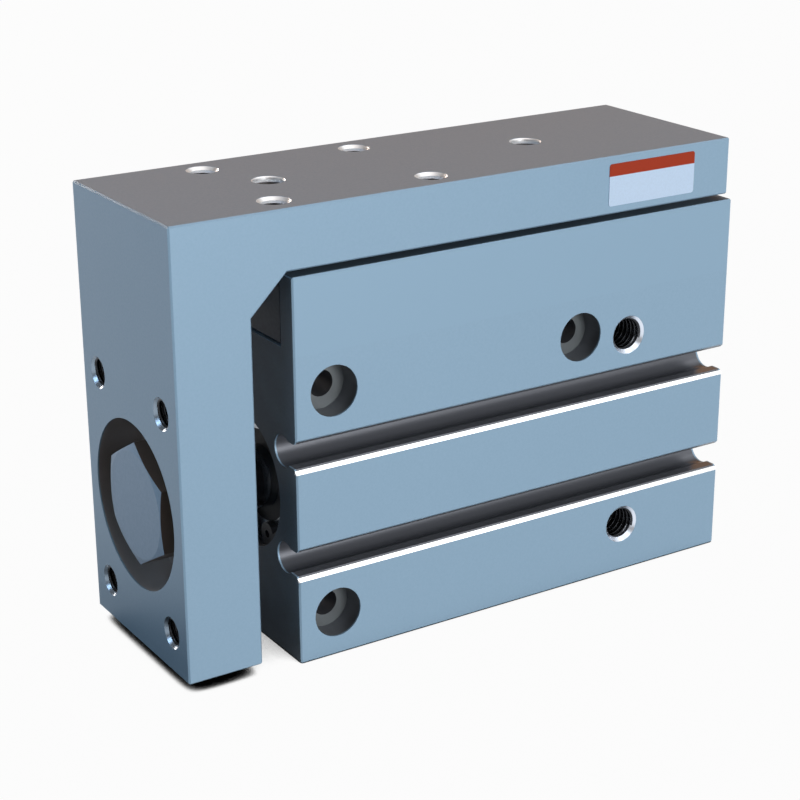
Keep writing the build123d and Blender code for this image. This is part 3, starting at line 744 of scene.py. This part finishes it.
@dataclass
class ScrewThreads:
    """Threads of the tapped holes that one moving body carries, as ridges on the drilled walls.

    The ridge's height and its width at the root are shares of the pitch. It is sunk into the wall a little.
    """

    name: str
    body: str
    slot: str
    groups: tuple[TappedHoles, ...]
    ridge_share: float = 0.27
    root_share: float = 0.9
    sink_mm: float = 0.05
    steps_per_turn: int = 36

    def build(self) -> bpy.types.Object:
        """Build the threads of every group as one mesh that rides on the body.

        Returns:
            The finished piece.
        """
        material = THREADS_PAINTED_SHADE.material()
        joined = bmesh.new()
        for group in self.groups:
            part = self._group_mesh(group, material)
            joined.from_mesh(part)
            bpy.data.meshes.remove(part)
        mesh = bpy.data.meshes.new(self.name)
        bmesh.ops.recalc_face_normals(joined, faces=joined.faces)
        joined.to_mesh(mesh)
        joined.free()
        mesh.materials.append(material)
        piece = bpy.data.objects.new(self.name, mesh)
        bpy.context.scene.collection.objects.link(piece)
        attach(piece, self.body)
        return piece

    def _group_mesh(self, group: TappedHoles, material: bpy.types.Material) -> bpy.types.Mesh:
        """Evaluate the thread tree for one group of holes.

        Args:
            group: The holes, all of one size and side.
            material: What the threads are made of.

        Returns:
            A plain mesh in the frame's coordinates.
        """
        points = bpy.data.meshes.new(f"{self.name}_mouths")
        points.from_pydata([[c * MM for c in mouth] for mouth in group.mouths], [], [])
        carrier = bpy.data.objects.new(f"{self.name}_mouths", points)
        bpy.context.scene.collection.objects.link(carrier)
        length = group.depth - group.mouth_depth
        values = {
            "Drill Radius": (group.drill / 2 + self.sink_mm) * MM,
            "Pitch": group.pitch * MM,
            "Ridge Height": (group.pitch * self.ridge_share + self.sink_mm) * MM,
            "Ridge Width": group.pitch * self.root_share * MM,
            "Turns": length / group.pitch,
            "Start": -group.mouth_depth * MM,
            "Steps": self.steps_per_turn,
            "Axis": group.side.value,
            "Material": material,
        }
        tree = thread_tree()
        modifier = carrier.modifiers.new("threads", "NODES")
        modifier.node_group = tree
        for item in tree.interface.items_tree:
            if item.item_type == "SOCKET" and item.name in values:
                modifier[item.identifier] = values[item.name]
        seen = carrier.evaluated_get(bpy.context.evaluated_depsgraph_get())
        mesh = bpy.data.meshes.new_from_object(seen)
        bpy.data.objects.remove(carrier)
        return mesh


def thread_tree() -> bpy.types.NodeTree:
    """Build the tree that puts a helical ridge down each tapped hole, or find it if it is there.

    Returns:
        A Geometry Nodes tree with one point in per hole mouth and the ridges' mesh out.
    """
    found = bpy.data.node_groups.get("hole_threads")
    if found:
        return found
    tree = bpy.data.node_groups.new("hole_threads", "GeometryNodeTree")
    sockets = tree.interface
    sockets.new_socket("Geometry", in_out="INPUT", socket_type="NodeSocketGeometry")
    for name in ("Drill Radius", "Pitch", "Ridge Height", "Ridge Width", "Turns", "Start"):
        sockets.new_socket(name, in_out="INPUT", socket_type="NodeSocketFloat")
    sockets.new_socket("Steps", in_out="INPUT", socket_type="NodeSocketInt")
    sockets.new_socket("Axis", in_out="INPUT", socket_type="NodeSocketVector")
    sockets.new_socket("Material", in_out="INPUT", socket_type="NodeSocketMaterial")
    sockets.new_socket("Geometry", in_out="OUTPUT", socket_type="NodeSocketGeometry")
    given = add_node(tree, "NodeGroupInput").outputs
    climb = add_node(
        tree, "ShaderNodeMath", {0: given["Turns"], 1: given["Pitch"]}, operation="MULTIPLY"
    ).outputs[0]
    helix = add_node(
        tree,
        "GeometryNodeCurveSpiral",
        {
            "Resolution": given["Steps"],
            "Rotations": given["Turns"],
            "Start Radius": given["Drill Radius"],
            "End Radius": given["Drill Radius"],
            "Height": climb,
        },
    )
    upright = add_node(tree, "GeometryNodeSetCurveNormal", {"Curve": helix.outputs[0]}, mode="Z_UP")
    # A ridge's section is a diamond, scaled from a circle with four corners.
    ridge = add_node(
        tree, "GeometryNodeCurvePrimitiveCircle", {"Resolution": 4, "Radius": 1.0}, mode="RADIUS"
    )
    half_width = add_node(
        tree, "ShaderNodeMath", {0: given["Ridge Width"], 1: 0.5}, operation="MULTIPLY"
    ).outputs[0]
    shape = add_node(
        tree, "ShaderNodeCombineXYZ", {"X": given["Ridge Height"], "Y": half_width, "Z": 1.0}
    ).outputs[0]
    profile = add_node(
        tree, "GeometryNodeTransform", {"Geometry": ridge.outputs[0], "Scale": shape}
    ).outputs[0]
    solid = add_node(
        tree,
        "GeometryNodeCurveToMesh",
        {"Curve": upright.outputs[0], "Profile Curve": profile, "Fill Caps": True},
    ).outputs[0]
    drop = add_node(tree, "ShaderNodeMath", {0: given["Start"], 1: climb}, operation="SUBTRACT").outputs[0]
    offset = add_node(tree, "ShaderNodeCombineXYZ", {"Z": drop}).outputs[0]
    seated = add_node(tree, "GeometryNodeTransform", {"Geometry": solid, "Translation": offset}).outputs[0]
    turned = add_node(
        tree, "FunctionNodeAlignRotationToVector", {"Vector": given["Axis"]}, axis="Z"
    ).outputs[0]
    points = add_node(tree, "GeometryNodeMeshToPoints", {"Mesh": given["Geometry"]}).outputs[0]
    placed = add_node(
        tree,
        "GeometryNodeInstanceOnPoints",
        {"Points": points, "Instance": seated, "Rotation": turned},
    ).outputs[0]
    real = add_node(tree, "GeometryNodeRealizeInstances", {"Geometry": placed}).outputs[0]
    dressed = add_node(
        tree, "GeometryNodeSetMaterial", {"Geometry": real, "Material": given["Material"]}
    ).outputs[0]
    add_node(tree, "NodeGroupOutput", {"Geometry": dressed})
    return tree


@dataclass
class SideLabel:
    """The blank label stuck on the port side of the table, in millimetres."""

    left: float = 20.35
    right: float = 34.25
    foot: float = 51.55
    head: float = 57.0
    band_foot: float = 55.4
    face_y: float = -13.0
    thickness: float = 0.08
    corner: float = 0.35
    corner_steps: int = 6

    def build(self) -> bpy.types.Object:
        """Build the label as a thin plate with rounded corners that rides on the table.

        Returns:
            The finished piece.
        """
        shell = bmesh.new()
        outline = [shell.verts.new(point) for point in self._outline()]
        face = shell.faces.new(outline)
        grown = bmesh.ops.extrude_face_region(shell, geom=[face])
        raised = [v for v in grown["geom"] if isinstance(v, bmesh.types.BMVert)]
        bmesh.ops.translate(shell, verts=raised, vec=(0, -self.thickness * MM, 0))
        bmesh.ops.recalc_face_normals(shell, faces=shell.faces)
        mesh = bpy.data.meshes.new("side_label")
        shell.to_mesh(mesh)
        shell.free()
        mesh.materials.append(LabelFilm().material(self.band_foot * MM))
        piece = bpy.data.objects.new("side_label", mesh)
        bpy.context.scene.collection.objects.link(piece)
        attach(piece, "slide")
        return piece

    def _outline(self) -> list[Vector]:
        """List the outline with its rounded corners, on the table's face.

        Returns:
            Its points in order, in metres.
        """
        corners = (
            (self.right - self.corner, self.head - self.corner, 0),
            (self.left + self.corner, self.head - self.corner, 1),
            (self.left + self.corner, self.foot + self.corner, 2),
            (self.right - self.corner, self.foot + self.corner, 3),
        )
        points = []
        for x, z, quarter in corners:
            for step in range(self.corner_steps + 1):
                angle = math.pi / 2 * (quarter + step / self.corner_steps)
                across = x + self.corner * math.cos(angle)
                up = z + self.corner * math.sin(angle)
                points.append(Vector((across, self.face_y, up)) * MM)
        return points


@dataclass
class Housing:
    """The fixed body: cylinder block, its closures and the guide carriage, in millimetres."""

    name: str = "housing"
    port_x: float = 24.35
    port_heights: tuple[float, float] = (33.8, 6.8)
    port_face_y: float = PORT_FACE_Y

    def threads(self) -> ScrewThreads:
        """Lay out the M5 threads of the two air ports.

        Returns:
            The threads, ready to build.
        """
        mouths = tuple((self.port_x, self.port_face_y, z) for z in self.port_heights)
        ports = TappedHoles(Side.PORTS, mouths, drill=4.2, pitch=0.8, depth=8.6, mouth_depth=0.55)
        return ScrewThreads("air_port_threads", self.name, "anodised_aluminium", (ports,))


@dataclass
class Slide:
    """The moving body: L-shaped table, guide rail and piston assembly, in millimetres."""

    name: str = "slide"
    front_x: float = END_PLATE_X
    end_tap_ys: tuple[float, float] = (-8.75, 8.75)
    end_tap_heights: tuple[float, float] = (34.8, 6.7)
    top_z: float = TABLE_TOP_Z
    top_tap_xs: tuple[float, float] = (-25.6, -3.9)
    top_tap_ys: tuple[float, float] = (-9.0, 9.0)

    def threads(self) -> ScrewThreads:
        """Lay out the M4 threads of the end plate and of the table's top.

        Returns:
            The threads, ready to build.
        """
        front = tuple((self.front_x, y, z) for z in self.end_tap_heights for y in self.end_tap_ys)
        top = tuple((x, y, self.top_z) for x in self.top_tap_xs for y in self.top_tap_ys)
        groups = (
            TappedHoles(Side.FRONT, front, drill=3.3, pitch=0.7, depth=9.6, mouth_depth=0.4),
            TappedHoles(Side.TOP, top, drill=3.3, pitch=0.7, depth=5.6, mouth_depth=0.4),
        )
        return ScrewThreads("table_threads", self.name, "anodised_aluminium", groups)


def dress_frame() -> None:
    """Give every CAD node the finish of its material slot."""
    for entry in frame["record"]["subparts"]:
        node = frame["nodes"][entry["node"]]
        finish = NODE_FINISHES.get(entry["node"]) or SLOT_FINISHES[entry["material_slot"]]
        if not node.material_slots:
            node.data.materials.append(finish.material())
        for place in node.material_slots:
            place.material = finish.material()
        log.info("dressed %s in %s", entry["node"], finish.name)


def direction_to(azimuth: float, elevation: float) -> Vector:
    """Return the unit vector towards a place given in degrees, azimuth 0 being the port side."""
    away, lift = math.radians(azimuth), math.radians(elevation)
    return Vector((math.sin(away) * math.cos(lift), -math.cos(away) * math.cos(lift), math.sin(lift)))


@dataclass(frozen=True)
class Softbox:
    """A square area lamp that looks at the object.

    Azimuth and elevation are in degrees, distance and size in metres, and power in watts.
    """

    name: str
    azimuth: float
    elevation: float
    distance: float
    size: float
    power: float
    colour: str = WHITE


@dataclass(frozen=True)
class Screen:
    """A round screen above the horizon, seen only in reflections.

    Its angles are in degrees. It is full within inner of its middle and has faded out at outer.
    """

    colour: str
    azimuth: float
    elevation: float
    inner: float
    outer: float


@dataclass(frozen=True)
class FloorShade:
    """How the painted shadow darkens the white floor round the object.

    Reach is how far off a part still counts, in metres. The floor is black at an openness of covered or
    less, and white at an openness of free or more.
    """

    reach: float
    covered: float
    free: float


@dataclass
class Studio:
    """Plain pale floor, soft lamps, white surroundings and the camera.

    Places and lengths are in metres, angles in degrees, and the lens and its sensor in millimetres.
    """

    azimuth: float = -32.4414
    elevation: float = 20.2221
    roll: float = -0.2738
    position: tuple[float, float, float] = (-0.128921, -0.198444, 0.112769)
    lens: float = 86.4525
    sensor_width: float = 36.0
    clip_start: float = 0.01
    aim: tuple[float, float, float] = (0.0, 0.0, 0.028)
    floor_radius: float = 1.6
    floor_segments: int = 96
    floor_colour: str = "#4A4A4A"
    floor_roughness: float = 0.9
    floor_white: float = 0.97
    seen_shade: FloorShade = FloorShade(reach=0.008, covered=0.3, free=0.5)
    mirrored_ahead: FloorShade = FloorShade(reach=0.16, covered=0.62, free=1.0)
    mirrored_beside: FloorShade = FloorShade(reach=0.012, covered=0.25, free=0.7)
    ahead_to_beside: tuple[float, float] = (-0.043, -0.039)
    shade_rays: int = 24
    ambient: float = 0.15
    ceiling_colour: str = "#817972"
    horizon: float = 0.03
    ceiling: float = 0.25
    screens: tuple[Screen, ...] = (
        Screen(WHITE, azimuth=30.0, elevation=60.0, inner=42.0, outer=52.0),
        Screen("#DDA97F", azimuth=150.0, elevation=28.0, inner=18.0, outer=30.0),
    )
    lamps: tuple[Softbox, ...] = (
        Softbox("key", 5.0, 12.0, distance=0.8, size=0.3, power=4.75),
        Softbox("edge_light", 55.0, 52.0, distance=0.6, size=0.2, power=0.2),
        Softbox("front_light", -17.0, 52.0, distance=0.6, size=0.22, power=0.15),
        Softbox("back_fill", 184.0, 6.0, distance=0.8, size=0.25, power=3.9, colour="#FFEEE0"),
        Softbox("warm_top", 150.0, 75.0, distance=0.6, size=0.3, power=0.22, colour="#FFB27A"),
        Softbox("left_fill", -95.0, 30.0, distance=0.4, size=0.15, power=0.345, colour="#CDE4FB"),
    )

    def build(self) -> None:
        """Set up floor, surroundings, lamps and camera."""
        bpy.context.scene.view_settings.view_transform = "Standard"
        self._floor()
        self._surroundings()
        for lamp in self.lamps:
            self._softbox(lamp)
        self._camera()

    def _seen(self, tree: bpy.types.NodeTree) -> bpy.types.NodeSocket:
        """Find the rays that show the backdrop: from the camera, off a gloss or through a clear part.

        Args:
            tree: Node tree of the floor or the world.

        Returns:
            A socket that is 1 for those rays and 0 for light thrown on dull surfaces.
        """
        path = add_node(tree, "ShaderNodeLightPath").outputs
        direct = add_node(
            tree,
            "ShaderNodeMath",
            {0: path["Is Camera Ray"], 1: path["Is Glossy Ray"]},
            operation="MAXIMUM",
        ).outputs[0]
        return add_node(
            tree, "ShaderNodeMath", {0: direct, 1: path["Is Transmission Ray"]}, operation="MAXIMUM"
        ).outputs[0]

    def _floor(self) -> None:
        """Lay the round floor that the object stands on."""
        disc = bmesh.new()
        bmesh.ops.create_circle(
            disc, cap_ends=True, segments=self.floor_segments, radius=self.floor_radius
        )
        mesh = bpy.data.meshes.new("floor")
        disc.to_mesh(mesh)
        disc.free()
        mesh.materials.append(self._floor_paper())
        floor = bpy.data.objects.new("floor", mesh)
        bpy.context.scene.collection.objects.link(floor)

    def _floor_paper(self) -> bpy.types.Material:
        """Build the floor's material: white to the eye, with a painted shadow where the object meets it.

        Mirrored in the metal the painted shadow reaches further out in front of the end plate than beside the
        block. The light that it throws back on the object is that of plain grey paper.

        Returns:
            The new material.
        """
        material = bpy.data.materials.new("floor_paper")
        material.use_nodes = True
        tree = material.node_tree
        tree.nodes.clear()
        paper = add_node(
            tree,
            "ShaderNodeBsdfPrincipled",
            {"Base Color": linear(self.floor_colour), "Roughness": self.floor_roughness},
        )
        place = add_node(tree, "ShaderNodeTexCoord").outputs["Object"]
        along = add_node(tree, "ShaderNodeSeparateXYZ", {0: place}).outputs["X"]
        ahead_x, beside_x = self.ahead_to_beside
        beside = add_node(
            tree, "ShaderNodeMapRange", {"Value": along, "From Min": ahead_x, "From Max": beside_x}
        ).outputs[0]
        mirrored = add_node(
            tree,
            "ShaderNodeMix",
            {"Factor": beside, "A": astuple(self.mirrored_ahead), "B": astuple(self.mirrored_beside)},
            data_type="VECTOR",
        ).outputs[1]
        direct = add_node(tree, "ShaderNodeLightPath").outputs["Is Camera Ray"]
        shade = add_node(
            tree,
            "ShaderNodeMix",
            {"Factor": direct, "A": mirrored, "B": astuple(self.seen_shade)},
            data_type="VECTOR",
        ).outputs[1]
        reach, covered, free = add_node(tree, "ShaderNodeSeparateXYZ", {0: shade}).outputs
        # Painted shadow: the floor's white falls off where the object closes it in.
        openness = add_node(
            tree, "ShaderNodeAmbientOcclusion", {"Distance": reach}, samples=self.shade_rays
        ).outputs["AO"]
        light = add_node(
            tree,
            "ShaderNodeMapRange",
            {"Value": openness, "From Min": covered, "From Max": free},
            interpolation_type="SMOOTHSTEP",
        ).outputs[0]
        white = add_node(tree, "ShaderNodeEmission", {"Color": light, "Strength": 1.0})
        share = add_node(
            tree, "ShaderNodeMath", {0: self._seen(tree), 1: self.floor_white}, operation="MULTIPLY"
        ).outputs[0]
        mixed = add_node(tree, "ShaderNodeMixShader", {0: share, 1: paper.outputs[0], 2: white.outputs[0]})
        add_node(tree, "ShaderNodeOutputMaterial", {"Surface": mixed.outputs[0]})
        return material

    def _surroundings(self) -> None:
        """Make the world white to the camera, and elsewhere fall from a white horizon to a grey ceiling.

        Reflections also show the screens that hang before it.
        """
        world = bpy.data.worlds.new("studio")
        world.use_nodes = True
        bpy.context.scene.world = world
        tree = world.node_tree
        tree.nodes.clear()
        direction = add_node(tree, "ShaderNodeTexCoord").outputs["Generated"]
        height = add_node(tree, "ShaderNodeSeparateXYZ", {0: direction}).outputs["Z"]
        rise = add_node(
            tree,
            "ShaderNodeMapRange",
            {"Value": height, "From Min": self.horizon, "From Max": self.ceiling},
            interpolation_type="SMOOTHSTEP",
        ).outputs[0]
        shade = add_node(
            tree,
            "ShaderNodeMix",
            {"Factor": rise, "A": linear(WHITE), "B": linear(self.ceiling_colour)},
            data_type="RGBA",
        ).outputs[2]
        mirrored = shade
        for screen in self.screens:
            mirrored = self._hang(tree, screen, direction, mirrored)
        glossy = add_node(tree, "ShaderNodeBackground", {"Color": mirrored, "Strength": 1.0})
        fill = add_node(tree, "ShaderNodeBackground", {"Color": shade, "Strength": self.ambient})
        white = add_node(tree, "ShaderNodeBackground", {"Color": linear(WHITE), "Strength": 1.0})
        lit = add_node(
            tree, "ShaderNodeMixShader", {0: self._seen(tree), 1: fill.outputs[0], 2: glossy.outputs[0]}
        )
        direct = add_node(tree, "ShaderNodeLightPath").outputs["Is Camera Ray"]
        mixed = add_node(tree, "ShaderNodeMixShader", {0: direct, 1: lit.outputs[0], 2: white.outputs[0]})
        add_node(tree, "ShaderNodeOutputWorld", {"Surface": mixed.outputs[0]})

    def _hang(
        self,
        tree: bpy.types.NodeTree,
        screen: Screen,
        direction: bpy.types.NodeSocket,
        behind: bpy.types.NodeSocket,
    ) -> bpy.types.NodeSocket:
        """Hang one screen before what is there already.

        Args:
            tree: Node tree of the world.
            screen: The screen.
            direction: Where a ray goes, as a unit vector.
            behind: Colour of what the screen covers.

        Returns:
            The colour with the screen before it.
        """
        nearness = add_node(
            tree,
            "ShaderNodeVectorMath",
            {0: direction, 1: direction_to(screen.azimuth, screen.elevation)},
            operation="DOT_PRODUCT",
        ).outputs["Value"]
        share = add_node(
            tree,
            "ShaderNodeMapRange",
            {
                "Value": nearness,
                "From Min": math.cos(math.radians(screen.outer)),
                "From Max": math.cos(math.radians(screen.inner)),
            },
            interpolation_type="SMOOTHSTEP",
        ).outputs[0]
        return add_node(
            tree,
            "ShaderNodeMix",
            {"Factor": share, "A": behind, "B": linear(screen.colour)},
            data_type="RGBA",
        ).outputs[2]

    def _softbox(self, lamp: Softbox) -> None:
        """Hang one area lamp and aim it at the object.

        Args:
            lamp: The lamp's place, size, power and colour.
        """
        light = bpy.data.lights.new(lamp.name, "AREA")
        light.size = lamp.size
        light.energy = lamp.power
        light.color = linear(lamp.colour)[:3]
        holder = bpy.data.objects.new(lamp.name, light)
        bpy.context.scene.collection.objects.link(holder)
        direction = direction_to(lamp.azimuth, lamp.elevation)
        holder.location = Vector(self.aim) + direction * lamp.distance
        holder.rotation_euler = direction.to_track_quat("Z", "Y").to_euler()

    def _camera(self) -> None:
        """Place the camera at the photograph's viewing angle."""
        lens = bpy.data.cameras.new("camera")
        lens.lens = self.lens
        lens.sensor_width = self.sensor_width
        lens.clip_start = self.clip_start
        camera = bpy.data.objects.new("camera", lens)
        bpy.context.scene.collection.objects.link(camera)
        turn = math.radians(self.azimuth)
        back = direction_to(self.azimuth, self.elevation)
        right = Vector((math.cos(turn), math.sin(turn), 0.0))
        up = back.cross(right)
        level_axes = Matrix((right, up, back)).transposed()
        axes = level_axes @ Matrix.Rotation(math.radians(self.roll), 3, "Z")
        camera.matrix_world = Matrix.Translation(self.position) @ axes.to_4x4()
        bpy.context.scene.camera = camera


def main() -> None:
    """Build the studio, dress the frame and build the pieces that ride on it."""
    logging.basicConfig(level=logging.INFO)
    Studio().build()
    dress_frame()
    pieces = [Housing().threads().build(), Slide().threads().build(), SideLabel().build()]
    for piece in pieces:
        log.info("built %s with %d faces", piece.name, len(piece.data.polygons))


if __name__ == "__main__":
    main()
